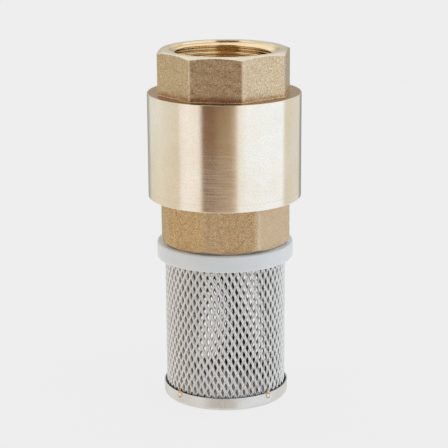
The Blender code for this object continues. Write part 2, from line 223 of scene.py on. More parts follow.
def facet_light_and_wear(corner, face_light_levels, wear_and_sheen):
    """Painted light and shade for each face of an octagon, from the one right of this corner on, and paler
    corners, partly worn and partly painted highlight.
    """
    def values(turn, height):
        face = (turn - corner) % (2 * PI) / (PI / 4)
        from_corner = np.abs(face - np.round(face)) * 45
        # Paler corners: partly wear, partly a painted highlight on the rounded edge.
        worn = wear_and_sheen * np.exp(-(from_corner / WEAR_AND_SHEEN_WIDTH) ** 2)
        return np.array(face_light_levels)[np.floor(face).astype(int) % 8] + worn
    return values


def octagon_radius(flats, rounding, turn, count):
    """Distance from the axis to a rounded octagon's outline, for each point of a ring."""
    centre = (flats / 2 - rounding) / math.cos(PI / 8)
    reach = math.atan2(rounding * math.sin(PI / 8), centre + rounding * math.cos(PI / 8))
    off = (turns(count) + PI / 2 - turn + PI / 8) % (PI / 4) - PI / 8  # turn from the nearest corner
    arc = centre * np.cos(off) + np.sqrt(np.maximum(rounding ** 2 - (centre * np.sin(off)) ** 2, 0))
    flat = flats / 2 / np.cos(PI / 8 - np.abs(off))
    return np.where(np.abs(off) < reach, arc, flat)


def thread_radius(height, end, count=ROUND):
    """The female G1 thread's surface at this height; it runs out towards end."""
    phase = (height / PITCH - turns(count) / (2 * PI)) % 1
    below = PITCH * np.abs(phase - 0.5)  # along the axis from the middle of a crest, 0 to half a pitch
    arc, flank = THREAD_ROUND * math.cos(FLANK), 1 / math.tan(FLANK)
    tip = THREAD_ROUND * (1 - math.sin(FLANK))
    depth = THREAD_MAJOR - THREAD_MINOR

    def rounded_by(distance):
        return THREAD_ROUND - np.sqrt(np.maximum(THREAD_ROUND ** 2 - distance ** 2, 0))

    straight = tip + flank * (below - arc)
    root = depth - rounded_by(PITCH / 2 - below)
    profile = np.where(below < arc, rounded_by(below), np.where(PITCH / 2 - below < arc, root, straight))
    fade = min(max(abs(height - end) / (0.9 * PITCH), 0), 1)
    return THREAD_MINOR + fade * profile


def mouth_radius(depth):
    """The recess at a threaded bore's mouth, and the cone below it that cuts the first thread away."""
    return THREAD_MOUTH - 0.3 * depth - MOUTH_SLOPE * max(0, depth - MOUTH_DEPTH)


def uneven(radius, height, size, grain, seed):
    """Small radial waves of a forged skin, at each point of a ring."""
    points = ring(radius, height, len(radius)) / grain
    shift = Vector((seed, 0, 0))
    return size * np.array([noise.noise(Vector(point) + shift) for point in points])


# ---------------------------------------------------------------- finishes

class Finish:
    """One Principled material and short forms for its nodes."""

    def __init__(self, name, colour, metallic, roughness, **constants):
        self.material = bpy.data.materials.new(name)
        self.material.use_nodes = True
        self.tree = self.material.node_tree
        self.shader = self.tree.nodes["Principled BSDF"]
        self.set(self.shader, {"Metallic": metallic, **constants})
        self.place = self.tree.nodes.new("ShaderNodeTexCoord").outputs["Object"]
        self.colour = colour
        self.roughness = roughness
        self.normal = None

    def attribute(self, name):
        return self.node("ShaderNodeAttribute", {"attribute_name": name}).outputs["Fac"]

    def set(self, node, values):
        for name, value in values.items():
            node.inputs[name].default_value = value

    def node(self, kind, settings=(), links=(), **values):
        made = self.tree.nodes.new(kind)
        for name, value in dict(settings).items():
            setattr(made, name, value)
        self.set(made, {name.replace("_", " "): value for name, value in values.items()})
        for name, source in dict(links).items():
            self.tree.links.new(source, made.inputs[name])
        return made

    def stretched(self, scale):
        """Object coordinates scaled by this much along each axis."""
        mapped = self.node("ShaderNodeMapping", links={"Vector": self.place}, Scale=scale)
        return mapped.outputs["Vector"]

    def noise(self, scale, detail=3.0, roughness=0.55, along=(1, 1, 1)):
        made = self.node("ShaderNodeTexNoise", links={"Vector": self.stretched(along)},
                         Scale=scale, Detail=detail, Roughness=roughness)
        return made.outputs["Fac"]

    def height(self, low, high):
        """0 at the height low, 1 at high, and the same beyond them."""
        split = self.node("ShaderNodeSeparateXYZ", links={"Vector": self.place})
        made = self.node("ShaderNodeMapRange", {"interpolation_type": "SMOOTHSTEP"},
                         {"Value": split.outputs["Z"]}, From_Min=low, From_Max=high)
        return made.outputs["Result"]

    def spread(self, source, low, high, to_low=0.0, to_high=1.0):
        made = self.node("ShaderNodeMapRange", {}, {"Value": source},
                         From_Min=low, From_Max=high, To_Min=to_low, To_Max=to_high)
        return made.outputs["Result"]

    def mix(self, share, first, second, mode="MIX"):
        """Colours mixed by share; each is a colour or a socket."""
        made = self.node("ShaderNodeMix", {"data_type": "RGBA", "blend_type": mode}, {"Factor": share})
        for slot, value in ((6, first), (7, second)):
            if isinstance(value, tuple):
                made.inputs[slot].default_value = (*value, 1.0)
            else:
                self.tree.links.new(value, made.inputs[slot])
        return made.outputs[2]

    def times(self, colour, factor):
        """The colour, brighter or darker by this factor."""
        made = self.node("ShaderNodeVectorMath", {"operation": "SCALE"}, {"Vector": colour, "Scale": factor})
        return made.outputs["Vector"]

    def bump(self, source, depth, strength=1.0):
        links = {"Height": source}
        if self.normal:
            links["Normal"] = self.normal
        made = self.node("ShaderNodeBump", {}, links, Strength=strength, Distance=depth)
        self.normal = made.outputs["Normal"]

    def done(self):
        links = {"Base Color": self.colour, "Roughness": self.roughness, "Normal": self.normal}
        for name, value in links.items():
            if isinstance(value, bpy.types.NodeSocket):
                self.tree.links.new(value, self.shader.inputs[name])
            elif isinstance(value, tuple):
                self.shader.inputs[name].default_value = (*value, 1.0)
            elif value is not None:
                self.shader.inputs[name].default_value = value
        return self.material


def tangent(finish, rotation):
    """Turning lines run round Z."""
    node = finish.node("ShaderNodeTangent", {"direction_type": "RADIAL", "axis": "Z"})
    finish.tree.links.new(node.outputs["Tangent"], finish.shader.inputs["Tangent"])
    finish.shader.inputs["Anisotropic Rotation"].default_value = rotation


def turned_brass(name="brass_turned", colour=(0.87, 0.79, 0.69), shade=(0.82, 0.72, 0.58), roughness=0.15,
                 marks=0.0004 * MM):
    """Bright lathe-turned brass: fine rings round Z, faint stains and finger marks."""
    f = Finish(name, colour, 1.0, roughness, Anisotropic=0.6)
    tangent(f, 0.25)
    lines = f.noise(1.0, 4.0, 0.7, along=(300, 300, 9000))
    broad = f.noise(90, 3.0)
    stained = f.mix(f.spread(broad, 0.35, 0.75), colour, shade)
    f.colour = f.times(stained, f.spread(f.noise(3600, 2.0), 0.3, 0.7, 0.91, 1.09))
    streaks = f.noise(700, 5.0, along=(0.2, 0.2, 4))
    f.roughness = f.spread(streaks, 0.3, 0.7, roughness - 0.04, roughness + 0.06)
    f.bump(lines, marks)
    return f.done()


def forged_brass(name, colour, dark, light, roughness=0.34, grain=3900, relief=0.035 * MM, foot=None,
                 face_lit=True):
    """Blasted forging skin: sharp-grained pits with darker and brighter specks, redder just above the height
    foot.
    Where asked for, a point attribute paints light and shade on each face, drawing it darker or paler."""
    f = Finish(name, colour, 1.0, roughness)
    fine = f.noise(grain, 2.5, 0.65)
    coarse = f.noise(grain / 2.4, 2.0, 0.5)
    broad = f.noise(160, 3.0)
    mottled = f.mix(f.spread(fine, 0.40, 0.60), dark, light)
    f.colour = f.mix(f.spread(broad, 0.3, 0.7, 0.05, 0.3), mottled, colour)
    # Painted light and shade: the attribute draws each octagon face paler or darker for the way it faces the
    # lights.
    if face_lit:
        pale = tuple(0.3 + 0.72 * value for value in colour)
        paler = f.mix(f.spread(f.attribute("painted_face_light"), 0, 1, 0, 0.7), f.colour, pale)
        f.colour = f.times(paler, f.spread(f.attribute("painted_face_light"), -1, 0, 0.8, 1.0))
    if foot is not None:
        redder = f.mix(f.spread(broad, 0.3, 0.7), (0.97, 0.88, 0.82), (0.87, 0.73, 0.63))
        f.colour = f.mix(f.height(foot + 2.2 * MM, foot + 0.3 * MM), f.colour, redder, "MULTIPLY")
    f.roughness = f.spread(coarse, 0.35, 0.65, roughness - 0.08, roughness + 0.13)
    f.bump(coarse, relief * 0.8)
    f.bump(fine, relief)
    return f.done()


def threaded_brass():
    """Cut brass inside the bores: bright and golden, with fine tool lines along the thread."""
    colour = (0.91, 0.75, 0.50)
    f = Finish("brass_cut", colour, 1.0, 0.1)
    f.colour = f.mix(f.spread(f.noise(200, 3.0), 0.3, 0.72), colour, (0.88, 0.66, 0.38))
    f.roughness = f.spread(f.noise(600, 3.0, along=(0.3, 0.3, 3)), 0.3, 0.7, 0.07, 0.15)
    f.bump(f.noise(1.0, 2.0, 0.5, along=(30, 30, 5000)), 0.0004 * MM)
    return f.done()


def steel(name, colour, shade, roughness=0.3, grain=(1, 1, 1), scale=2200, relief=0.004 * MM):
    """Stainless steel with a fine grain, stretched by grain, and cloudy colour."""
    f = Finish(name, colour, 1.0, roughness)
    f.colour = f.mix(f.spread(f.noise(180, 3.0), 0.3, 0.7), colour, shade)
    f.roughness = f.spread(f.noise(scale, 4.0, along=grain), 0.3, 0.7, roughness - 0.08, roughness + 0.12)
    f.bump(f.noise(scale, 4.0, 0.6, along=grain), relief)
    return f.done()


def expanded_steel():
    """Expanded sheet: painted highlights along the strands and hole edges, greyer strands with painted shade
    at the bonds, and near-black painted shade inside the tube and down the hole walls.
    """
    f = Finish("stainless_expanded", (0.7, 0.7, 0.68), 1.0, 0.5)
    grey = f.mix(f.spread(f.noise(1500, 3.0), 0.3, 0.7), (0.62, 0.605, 0.59), (0.80, 0.785, 0.765))
    bright = f.mix(f.spread(f.noise(900, 3.0), 0.3, 0.7), (0.98, 0.97, 0.95), (0.86, 0.85, 0.83))
    # Painted highlight: bright colour along the strands and hole edges, grey at the bonds.
    highlighted = f.mix(f.attribute("painted_highlight"), grey, bright)
    # Painted shade: near-black inside the tube and down the hole walls.
    f.colour = f.mix(f.attribute("inside"), highlighted, (0.04, 0.038, 0.036))
    f.roughness = f.spread(f.noise(2200, 4.0), 0.3, 0.7, 0.44, 0.6)
    f.bump(f.noise(2600, 4.0, 0.6), 0.006 * MM)
    return f.done()


def weld_steel():
    """Heat-tinted weld: straw and brown round a pale middle."""
    f = Finish("stainless_weld", (0.6, 0.5, 0.4), 1.0, 0.34)
    tint = f.mix(f.spread(f.noise(1300, 3.0), 0.42, 0.58), (0.36, 0.20, 0.09), (0.80, 0.62, 0.34))
    f.colour = f.mix(f.attribute("burnt"), (0.90, 0.85, 0.78), tint)
    f.roughness = f.spread(f.noise(2600, 3.0), 0.3, 0.7, 0.25, 0.45)
    f.bump(f.noise(1800, 3.0), 0.03 * MM)
    return f.done()


def nylon():
    """Natural nylon: milky, slightly blue, with a soft moulded sheen."""
    f = Finish("nylon", (0.72, 0.76, 0.81), 0.0, 0.42)
    f.set(f.shader, {"Subsurface Weight": 0.35, "Subsurface Scale": 1.2 * MM, "IOR": 1.52})
    f.shader.inputs["Subsurface Radius"].default_value = (1.0, 1.0, 1.0)
    f.colour = f.mix(f.spread(f.noise(110, 4.0), 0.3, 0.7), (0.73, 0.75, 0.755), (0.785, 0.795, 0.80))
    f.roughness = f.spread(f.noise(900, 4.0), 0.3, 0.7, 0.36, 0.52)
    f.bump(f.noise(500, 4.0), 0.02 * MM)
    return f.done()


def plain_polymer(name, colour, shade, roughness):
    """Acetal or nitrile: fine moulded or turned grain."""
    f = Finish(name, colour, 0.0, roughness)
    f.colour = f.mix(f.spread(f.noise(400, 3.0), 0.3, 0.7), colour, shade)
    f.roughness = f.spread(f.noise(1600, 3.0), 0.3, 0.7, roughness - 0.08, roughness + 0.1)
    f.bump(f.noise(3000, 3.0), 0.006 * MM)
    return f.done()


# ---------------------------------------------------------------- forgings

def valve_body():
    """Outlet octagon and barrel, one forging: threaded bore, rim, octagon, barrel, chamber."""
    thread, cut, rim, forged, ledge, turned = range(6)
    bands = []
    last = TOP - 0.08 * MM
    visible = TOP - 8 * MM  # finer above this
    coarse = np.arange(OUTLET_THREAD_END + 0.1 * MM, visible, 0.12 * MM)
    for z in (*coarse, *np.arange(visible, last, 0.06 * MM)):
        grooved = np.maximum(thread_radius(z, OUTLET_THREAD_END), mouth_radius(TOP - z))
        bands.append((ring(grooved, z), thread))
    bands += lathe([(THREAD_MOUTH - 0.08 * MM, last), (THREAD_MOUTH, TOP - 0.02 * MM)], rim)
    bands += lathe([(THREAD_MOUTH + 0.06 * MM, TOP), (RIM_RADIUS - 0.1 * MM, TOP)], rim)

    side = octagon_radius(OUTLET_FLATS, OUTLET_ROUND, OUTLET_TURN, FINE)
    bands.append((ring(RIM_RADIUS, TOP - 0.02 * MM, FINE), rim))
    worn = 0.10 * MM + uneven(side, TOP, 0.05 * MM, 2 * MM, 3)

    def chamfer(radius):
        return TOP - (radius - RIM_RADIUS) * RIM_SLOPE - 0.02 * MM

    for share in (0.35, 0.7):
        radius = RIM_RADIUS + share * (side - worn - RIM_RADIUS)
        bands.append((ring(radius, chamfer(radius), FINE), rim))
    bands.append((ring(side - worn, chamfer(side - worn), FINE), rim))
    bands.append((ring(side - 0.3 * worn, chamfer(side) - 0.25 * worn, FINE), forged))
    upper = chamfer(side) - worn
    lower = LEDGE + 0.25 * MM
    for share in np.linspace(0, 1, 34):
        z = upper + share * (lower - upper)
        radius = side + uneven(side, z, 0.05 * MM, 1.6 * MM, 7) - 0.03 * MM
        bands.append((ring(radius, z, FINE), forged))
    bands.append((ring(side + 0.04 * MM, LEDGE + 0.1 * MM, FINE), forged))
    bands.append((ring(side + 0.16 * MM, LEDGE, FINE), ledge))

    edge = 0.3 * MM
    foot = BARREL_END - 0.1 * MM + SEAM
    bands += lathe(
        [
            (BARREL_RADIUS - edge, LEDGE),
            (BARREL_RADIUS - 0.35 * edge, LEDGE - 0.12 * edge),
            (BARREL_RADIUS - 0.12 * edge, LEDGE - 0.35 * edge),
            (BARREL_RADIUS, LEDGE - edge),
            (BARREL_RADIUS, (LEDGE + foot) / 2),
            (BARREL_RADIUS, foot + 0.02 * MM),
            (BARREL_RADIUS - 0.02 * MM, foot),
        ],
        turned,
    )
    bands += lathe(
        [
            (22.3 * MM, foot),
            (22.3 * MM, FLANGE_TOP + 2.3 * MM),
            (20.9 * MM, FLANGE_TOP + 2.3 * MM),
            (20.9 * MM, SEAT),
            (20.0 * MM, SEAT + 0.6 * MM),
            (20.0 * MM, SEAT + 12.6 * MM),
            (15.4 * MM, SEAT + 17.1 * MM),
            (15.4 * MM, SEAT + 21.6 * MM),
            (13.2 * MM, SEAT + 21.6 * MM),
            (13.2 * MM, OUTLET_THREAD_END - 1.0 * MM),
            (13.4 * MM, OUTLET_THREAD_END - 0.8 * MM),
            (THREAD_MINOR, OUTLET_THREAD_END),
        ],
        cut,
    )
    finishes = [FINISHES[name] for name in ("cut", "cut", "rim", "forged", "ledge", "turned")]
    # The octagon's faces get painted light and shade; its corners a paler strip, partly worn and partly
    # painted highlight.
    body = painted(skin("body_forging", bands, finishes, 17, thread), "painted_face_light",
                   facet_light_and_wear(OUTLET_TURN, OUTLET_FACE_LIGHT, OUTLET_WEAR_AND_SHEEN))
    return housing_piece(body, "brass", "valve_body")


def inlet_end():
    """Lower octagon, flange, screwed spigot and seat, one forging."""
    thread, cut, forged, turned = range(4)
    bands = []
    step = 0.2 * MM
    for z in np.arange(INLET_BOTTOM + 0.1 * MM, INLET_THREAD_END - 0.1 * MM, step):
        mouth = mouth_radius(z - INLET_BOTTOM)
        bands.append((ring(np.maximum(thread_radius(z, INLET_THREAD_END), mouth), z), thread))
    groove = SEAT - 11.75 * MM
    bands += lathe(
        [
            (THREAD_MINOR, INLET_THREAD_END),
            (13.9 * MM, INLET_THREAD_END),
            (13.9 * MM, groove),
            (14.7 * MM, groove),
            (14.7 * MM, groove + 1.3 * MM),
            (13.9 * MM, groove + 1.3 * MM),
            (13.9 * MM, SEAT - 6.1 * MM),
            (12.75 * MM, SEAT - 6.1 * MM),
            (12.75 * MM, SEAT - 0.2 * MM),
            (12.95 * MM, SEAT),
            (14.2 * MM, SEAT),
            (14.4 * MM, SEAT - 0.15 * MM),
            (14.9 * MM, SEAT - 1.0 * MM),
            (19.2 * MM, SEAT - 1.0 * MM),
            (20.6 * MM, SEAT - 2.4 * MM),
            (20.6 * MM, FLANGE_TOP),
            (BARREL_RADIUS - 0.02 * MM, FLANGE_TOP),
        ],
        cut,
    )
    edge = 0.25 * MM
    bands += lathe(
        [
            (BARREL_RADIUS, FLANGE_TOP - 0.02 * MM),
            (BARREL_RADIUS, FLANGE_BOTTOM + edge),
            (BARREL_RADIUS - 0.3 * edge, FLANGE_BOTTOM + 0.3 * edge),
            (BARREL_RADIUS - edge, FLANGE_BOTTOM),
            (21.6 * MM, FLANGE_BOTTOM),
        ],
        turned,
    )
    side = octagon_radius(INLET_FLATS, INLET_ROUND, INLET_TURN, MEDIUM)
    bands.append((ring(side + 0.25 * MM, FLANGE_BOTTOM, MEDIUM), forged))
    bands.append((ring(side + 0.07 * MM, FLANGE_BOTTOM - 0.07 * MM, MEDIUM), forged))
    worn = 0.12 * MM + uneven(side, INLET_BOTTOM, 0.10 * MM, 2.2 * MM, 11)
    upper = FLANGE_BOTTOM - 0.25 * MM
    lower = INLET_BOTTOM + (side - FOOT_RADIUS) * FOOT_SLOPE + worn
    for share in np.linspace(0, 1, 40):
        z = upper + share * (lower - upper)
        radius = side + uneven(side, z, 0.06 * MM, 1.7 * MM, 19) - 0.04 * MM
        bands.append((ring(radius, z, MEDIUM), forged))
    for share in (0.97, 0.5, 0.03):
        radius = FOOT_RADIUS + share * (side - FOOT_RADIUS)
        bands.append((ring(radius, INLET_BOTTOM + (radius - FOOT_RADIUS) * FOOT_SLOPE, MEDIUM), turned))
    bands += lathe([(FOOT_RADIUS - 0.1 * MM, INLET_BOTTOM), (THREAD_MOUTH + 0.1 * MM, INLET_BOTTOM)], turned)
    finishes = [FINISHES[name] for name in ("cut", "cut", "forged_shaded", "turned")]
    # The octagon's faces get painted light and shade; its corners a paler strip, partly worn and partly
    # painted highlight.
    end = painted(skin("inlet_forging", bands, finishes, 17, thread), "painted_face_light",
                  facet_light_and_wear(INLET_TURN, INLET_FACE_LIGHT, INLET_WEAR_AND_SHEEN))
    return housing_piece(end, "brass", "inlet_end")


# ---------------------------------------------------------------- strainer

def strainer_ring():
    """Nylon ring: rounded collar with a slot for the tube, and the male thread."""
    edge = 0.5 * MM
    collar = radius_of("strainer_ring")
    bands = lathe(
        rounded(
            [
                (12.4 * MM, RING_BOTTOM + 3.0 * MM),
                (13.9 * MM, RING_BOTTOM),
                (18.15 * MM, RING_BOTTOM),
                (18.15 * MM, RING_BOTTOM + 2.6 * MM),
                (19.35 * MM, RING_BOTTOM + 2.6 * MM),
                (19.35 * MM, RING_BOTTOM),
                (collar, RING_BOTTOM),
                (collar, RING_TOP),
                (15.2 * MM, RING_TOP),
                (15.2 * MM, RING_TOP + 0.5 * MM),
                (12.4 * MM, RING_TOP + 0.5 * MM),
            ],
            edge,
            5,
        )[:-12],
        0,
    )
    start = RING_TOP + 0.6 * MM
    finish = SPIGOT_TOP - 0.5 * MM
    for z in np.arange(start, finish, 0.2 * MM):
        fade = min(1, (finish - z) / MM, (z - start) / MM + 0.2)
        cut = thread_radius(z, INLET_THREAD_END) - THREAD_PLAY
        root = THREAD_MINOR - THREAD_PLAY
        bands.append((ring(root + fade * (cut - root), z), 0))
    bands += lathe(
        [(14.9 * MM, finish), (14.4 * MM, SPIGOT_TOP), (12.6 * MM, SPIGOT_TOP),
         (12.4 * MM, SPIGOT_TOP - 0.2 * MM)]
    )
    return housing_piece(skin("nylon_ring", bands, [FINISHES["nylon"]]), "nylon", "strainer_ring")


def lattice():
    """Expanded metal rolled into a tube. Each rhombic cell has a hole that runs obliquely through the sheet,
    lower on one side than on the other, as the slitting knives leave them."""
    columns = 52
    pitch_v = 4.14 * MM
    first_v = 3.5 * MM  # height of the lowest holes of the front column
    radius = radius_of("strainer_mesh") - 0.12 * MM
    top = top_of("strainer_mesh")
    crowded = first_v + 10.5 * pitch_v  # above this the last half cells are squeezed under the ring
    hole_u, hole_v, power = 0.61 * MM, 1.45 * MM, 1.3
    tilt, dimple, wall = 0.10 * MM, 0.16 * MM, 0.5 * MM
    slant_u, slant_v = 0.30 * MM, 0.25 * MM  # the holes run obliquely through the sheet
    around = 20
    # From the strand towards the hole and down its wall: growth of the hole, depth, painted highlight on the
    # hole's edge, painted shade down the wall.
    profile = [
        (0.22 * MM, 0.06 * MM, 0.2, 0),
        (0.12 * MM, -0.01 * MM, 0.7, 0),
        (0.04 * MM, -0.03 * MM, 1, 0),
        (-0.03 * MM, 0.06 * MM, 0.7, 0.1),
        (-0.08 * MM, 0.24 * MM, 0, 0.7),
        (-0.12 * MM, wall, 0, 1),
    ]
    half_u = PI / columns * radius
    half_v = pitch_v / 2
    rng = np.random.default_rng(5)
    points, painted_highlight, inside, faces, shared, edges = [], [], [], [], {}, {}

    def place(u, v, depth, bright, inner):
        if v > crowded:
            v = crowded + (v - crowded) * (top - crowded) / half_v
        angle = u / radius - PI / 2
        r = radius - depth
        points.append((r * math.cos(angle), r * math.sin(angle), v))
        painted_highlight.append(bright)
        inside.append(inner)
        return len(points) - 1

    loop = [2 * PI * k / around for k in range(around)]
    quarter = around // 4
    border = []
    for k in range(around):
        side, part = divmod(k, quarter)
        t = part / quarter
        corner = [(1, 0), (0, 1), (-1, 0), (0, -1)]
        (x0, y0), (x1, y1) = corner[side], corner[(side + 1) % 4]
        border.append((x0 + (x1 - x0) * t, y0 + (y1 - y0) * t))

    def on_border(cu, cv, k, layer):
        """A point that neighbouring cells share, kept under its place in quarter steps."""
        x, y = border[k]
        key = (round((cu + x) * quarter) % (2 * columns * quarter), round((cv + y) * quarter), layer)
        if key not in shared:
            # Painted highlight along the strand, faded out at each bond's middle as a painted shade spot; the
            # inner layer is marked for the near-black painted shade.
            bond = (2 * abs(k % quarter / quarter - 0.5)) ** 2
            depth = 0.01 * MM + dimple * bond if layer == 0 else wall + 0.05 * MM
            height = first_v + (cv + y) * half_v
            shared[key] = place((cu + x) * half_u, height, depth, 0.3 * (1 - bond), layer)
        return shared[key]

    def swept(size, part):
        """One coordinate of a rhombus with rounded corners."""
        return size * math.copysign(abs(part) ** (2 / power), part)

    for cv in range(0, 22):
        for cu in range(cv % 2, 2 * columns, 2):
            if first_v + cv * half_v > crowded + 0.1 * MM:
                continue
            du, dv = rng.normal(0, 0.018 * MM, 2)
            scale = 1 + rng.normal(0, 0.03)
            middle_u, middle_v = cu * half_u + du, first_v + cv * half_v + dv
            rings = [[on_border(cu, cv, k, 0) for k in range(around)]]
            for grow, depth, bright, inner in profile:
                line = []
                for angle in loop:
                    c, s = math.cos(angle), math.sin(angle)
                    x = swept(hole_u * scale + grow, c) + slant_u * depth / wall
                    y = swept(hole_v * scale + grow * 1.6, s) + slant_v * depth / wall
                    sunk = depth + tilt * math.tanh(2.5 * c)
                    # The painted shade down each hole's wall is heaviest on its upper side.
                    line.append(place(middle_u + x, middle_v + y, sunk, bright, inner * (0.55 + 0.45 * s)))
                rings.append(line)
            rings.append([on_border(cu, cv, k, 1) for k in range(around)])
            for low, high in zip(rings, rings[1:]):
                for k in range(around):
                    j = (k + 1) % around
                    faces.append((low[k], low[j], high[j], high[k]))
            for k in range(around):
                j = (k + 1) % around
                outer, inner = (rings[0][k], rings[0][j]), (rings[-1][j], rings[-1][k])
                edges.setdefault(tuple(sorted(outer)), []).append(outer + inner)
    faces += [found[0] for found in edges.values() if len(found) == 1]
    tube_piece = piece_from("expanded_tube", points, faces, [FINISHES["mesh"]], sharp=60)
    # Point attributes for the painted highlight and the painted shade.
    for name, values in (("painted_highlight", painted_highlight), ("inside", inside)):
        tube_piece.data.attributes.new(name, "FLOAT", "POINT").data.foreach_set("value", values)
    return housing_piece(tube_piece, "stainless", "strainer_mesh")


WELDS = [math.radians(-47.3 + 90 * number) for number in range(4)]  # turns from the front towards +X
WELD_HEIGHT = 3.3 * MM


def strainer_cap():
    """Pressed cup with a rounded foot, dished slightly at each weld."""
    outer = radius_of("strainer_cap")
    wall, rim = 0.5 * MM, 0.34 * MM
    foot = 1.0 * MM
    front = turns(MEDIUM) + PI / 2

    def dished(z):
        depth = 0 * front
        for weld in WELDS:
            along = ((front - weld + PI) % (2 * PI) - PI) * outer
            apart = (along / (1.15 * MM)) ** 2 + ((z - WELD_HEIGHT) / (1.2 * MM)) ** 2
            depth += 0.16 * MM * np.exp(-apart ** 2)
        wave = 0.02 * MM * (np.sin(3 * front + 1) + 0.6 * np.sin(7 * front))
        return depth + wave * min(1, z / (4 * MM)) + 0.02 * MM

    bands = [(ring(0, 0, 1), 0)]
    bands += lathe([(6 * MM, 0), (12 * MM, 0)], 0)
    for k in range(9):
        turn = PI / 2 * k / 8
        z = foot * (1 - math.cos(turn))
        bands.append((ring(outer - foot + foot * math.sin(turn) - dished(z), z, MEDIUM), 0))
    lip = 0.12 * MM
    for z in np.linspace(foot + 0.2 * MM, CAP_TOP - lip, 16):
        bands.append((ring(outer - dished(z), z, MEDIUM), 0))
    bands.append((ring(outer - lip - dished(CAP_TOP), CAP_TOP, MEDIUM), 0))
    # The inner wall, up to the lip, takes the near-black painted shade.
    bands.append((ring(outer - rim - dished(CAP_TOP), CAP_TOP - lip / 2, MEDIUM), 1))
    for z in np.linspace(CAP_TOP - 2 * lip, foot, 12):
        bands.append((ring(outer - rim - 0.6 * dished(z), z, MEDIUM), 1))
    bands.append((ring(outer - foot, wall, MEDIUM), 0))
    bands += lathe([(12 * MM, wall)], 0)
    bands.append((ring(0, wall, 1), 0))
    cap = skin("pressed_cap", bands, [FINISHES["cap"], FINISHES["cap_inside"]])
    return housing_piece(cap, "stainless", "strainer_cap")


def cap_weld(number):
    """A spot weld: an uneven crater whose rim is broken on one side."""
    rings_out, around = 9, 36
    base = radius_of("strainer_cap")
    rng = np.random.default_rng(20 + number)
    phase = rng.uniform(0, 2 * PI)
    points, faces = [], []

    def place(x, y, height):
        angle = WELDS[number] + x / base - PI / 2
        r = base + height
        points.append((r * math.cos(angle), r * math.sin(angle), WELD_HEIGHT + y))
        return len(points) - 1

    def height(share, turn):
        crater = math.exp(-((share - 0.68) / 0.17) ** 2)
        broken = 0.35 + 0.65 * (0.5 - 0.5 * math.cos(turn)) ** 0.6
        return -0.10 * MM + 0.19 * MM * crater * broken + 0.03 * MM * (1 - share) - 0.16 * MM * share ** 8

    rows = [[place(0, 0, height(0, 0))]]
    for step in range(1, rings_out + 1):
        share = step / rings_out
        row = []
        for k in range(around):
            turn = 2 * PI * k / around
            size = 1 + 0.06 * math.sin(3 * turn + phase) + 0.04 * math.sin(5 * turn - phase)
            x = 1.2 * MM * share * size * math.cos(turn)
            y = 1.35 * MM * share * size * math.sin(turn)
            row.append(place(x, y, height(share, turn)))
        rows.append(row)
    back = []
    for k in range(around):
        turn = 2 * PI * k / around
        back.append(place(0.7 * MM * math.cos(turn), 0.9 * MM * math.sin(turn), -0.6 * MM))
    rows.append(back)
    rows.append([place(0, 0, -0.6 * MM)])
    for low, high in zip(rows, rows[1:]):
        for k in range(around):
            j = (k + 1) % around
            corners = low[k % len(low)], low[j % len(low)], high[j % len(high)], high[k % len(high)]
            faces.append(tuple(dict.fromkeys(corners)))
    node = f"cap_weld_{number + 1}"
    piece = piece_from(f"spot_weld_{number + 1}", points, faces, [FINISHES["weld"]], sharp=60)

    def burnt(turn, height):
        along = ((turn - WELDS[number] + PI) % (2 * PI) - PI) * base / MM
        distance = np.hypot(along + 0.12, (height - WELD_HEIGHT) / MM / 1.1 + 0.1)
        return np.clip((distance - 0.35) / 0.3, 0, 1)

    return housing_piece(painted(piece, "burnt", burnt), "stainless", node)


# ---------------------------------------------------------------- insides

def housing_piece(piece, slot, *nodes):
    return fitted(piece, "housing", slot, *nodes)


def fitted(piece, body, slot, *nodes):
    """Puts a finished piece in place of these nodes, on this body."""
    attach(piece, body)
    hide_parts(*nodes)
    return piece


def turned_piece(name, node, outline, finish, slot, body="housing", edge=0.15 * MM, count=ROUND, sharp=35):
    piece = skin(name, lathe(rounded(outline, edge), 0, count), [FINISHES[finish]], sharp)
    return fitted(piece, body, slot, node)


def settled(obj):
    """The object with its modifiers applied."""
    bpy.context.view_layer.update()
    mesh = bpy.data.meshes.new_from_object(obj.evaluated_get(bpy.context.evaluated_depsgraph_get()))
    obj.modifiers.clear()
    obj.data = mesh
    return obj


def joined(obj, others, operation="UNION", edge=0.0):
    """obj with the others added or cut away, and its edges bevelled."""
    for other in others:
        boolean = obj.modifiers.new(other.name, "BOOLEAN")
        boolean.operation = operation
        boolean.object = other
    if edge:
        bevel = obj.modifiers.new("edges", "BEVEL")
        bevel.width = edge
        bevel.segments = 3
        bevel.limit_method = "ANGLE"
        bevel.angle_limit = math.radians(50)
        bevel.harden_normals = False
    settled(obj)
    for other in others:
        bpy.data.objects.remove(other)
    obj.data.shade_smooth()
    obj.data.set_sharp_from_angle(angle=math.radians(35))
    return obj


def bar(name, inner, outer, width, low, high, angle, finish):
    """A straight arm along the radius."""
    points = [(x, y, z) for z in (low, high) for x, y in
              ((inner, -width / 2), (outer, -width / 2), (outer, width / 2), (inner, width / 2))]
    faces = [(3, 2, 1, 0), (4, 5, 6, 7), (0, 1, 5, 4), (1, 2, 6, 5), (2, 3, 7, 6), (3, 0, 4, 7)]
    obj = piece_from(name, points, faces, [finish])
    obj.data.transform(Matrix.Rotation(angle, 4, "Z"))
    return obj


def spider(name, node, rim, hub, heights):
    """A guide: rim and hub joined by three arms."""
    finish = FINISHES["cut"]
    guide = skin(name, lathe(rim, 0, 144), [finish])
    parts = [skin("hub", lathe(hub, 0, SMALL), [finish])]
    reach = (min(r for r, _ in rim) + max(r for r, _ in rim)) / 2
    for number in range(3):
        angle = PI / 2 + 2 * PI / 3 * number
        inner = max(r for r, _ in hub) - 0.5 * MM
        parts.append(bar(f"arm_{number}", inner, reach, 2.4 * MM, *heights, angle, finish))
    return housing_piece(joined(guide, parts, edge=0.18 * MM), "brass", node)


